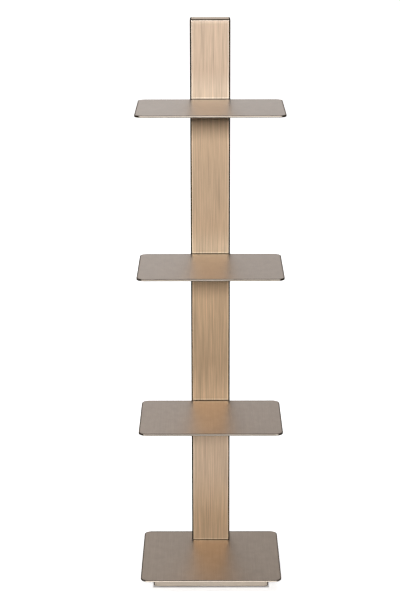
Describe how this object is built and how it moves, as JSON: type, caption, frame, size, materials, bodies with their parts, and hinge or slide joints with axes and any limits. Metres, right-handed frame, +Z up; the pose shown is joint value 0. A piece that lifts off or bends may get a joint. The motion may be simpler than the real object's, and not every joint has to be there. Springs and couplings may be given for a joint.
{
  "type": "floor-standing column shelf",
  "caption": "Narrow metal shelf unit: a tall rectangular column on a weighted base plate carries thin cantilevered shelves with rounded corners.",
  "frame": {"origin": "middle of the bounding box in plan, on the floor under the feet", "axes": "+Z up, -Y towards the front, where the shelves reach out, +Y towards the wall behind the column, +X to the right as seen from the front"},
  "size_m": [0.286, 0.245, 1.132],
  "materials": {
    "bronze_column": "brushed stainless steel with a warm bronze coating, fine vertical grain, satin",
    "bronze_plate": "brushed stainless steel with a warm bronze coating, fine grain from left to right, satin",
    "bronze_plinth": "brushed stainless steel with a warm bronze coating, grain along the bar, satin",
    "bare_steel": "mill finish, lightly oiled",
    "black_ballast": "matt black primer on hot-rolled steel",
    "zinc_fastener": "bright zinc plating",
    "pad_rubber": "matt black rubber"
  },
  "bodies": {
    "root": {"column_shell": "bronze_column", "column_cap": "bronze_plate", "rear_cover": "bronze_column", "rear_cover_screws": "bronze_plinth", "tether_nut": "zinc_fastener", "shelf_upper": "bronze_plate", "shelf_middle": "bronze_plate", "shelf_lower": "bronze_plate", "bracket_upper": "bare_steel", "bracket_middle": "bare_steel", "bracket_lower": "bare_steel", "shelf_screws": "zinc_fastener", "shelf_screw_washers": "zinc_fastener", "bracket_weld_nuts": "bare_steel", "base_plate": "bronze_plate", "plinth_frame": "bronze_plinth", "ballast_plate": "black_ballast", "ballast_studs": "bare_steel", "ballast_nuts": "zinc_fastener", "ballast_washers": "zinc_fastener", "column_foot_block": "bare_steel", "column_bolts": "zinc_fastener", "column_bolt_washers": "zinc_fastener", "levelling_feet": "zinc_fastener", "foot_pads": "pad_rubber"}
  },
  "joints": []
}
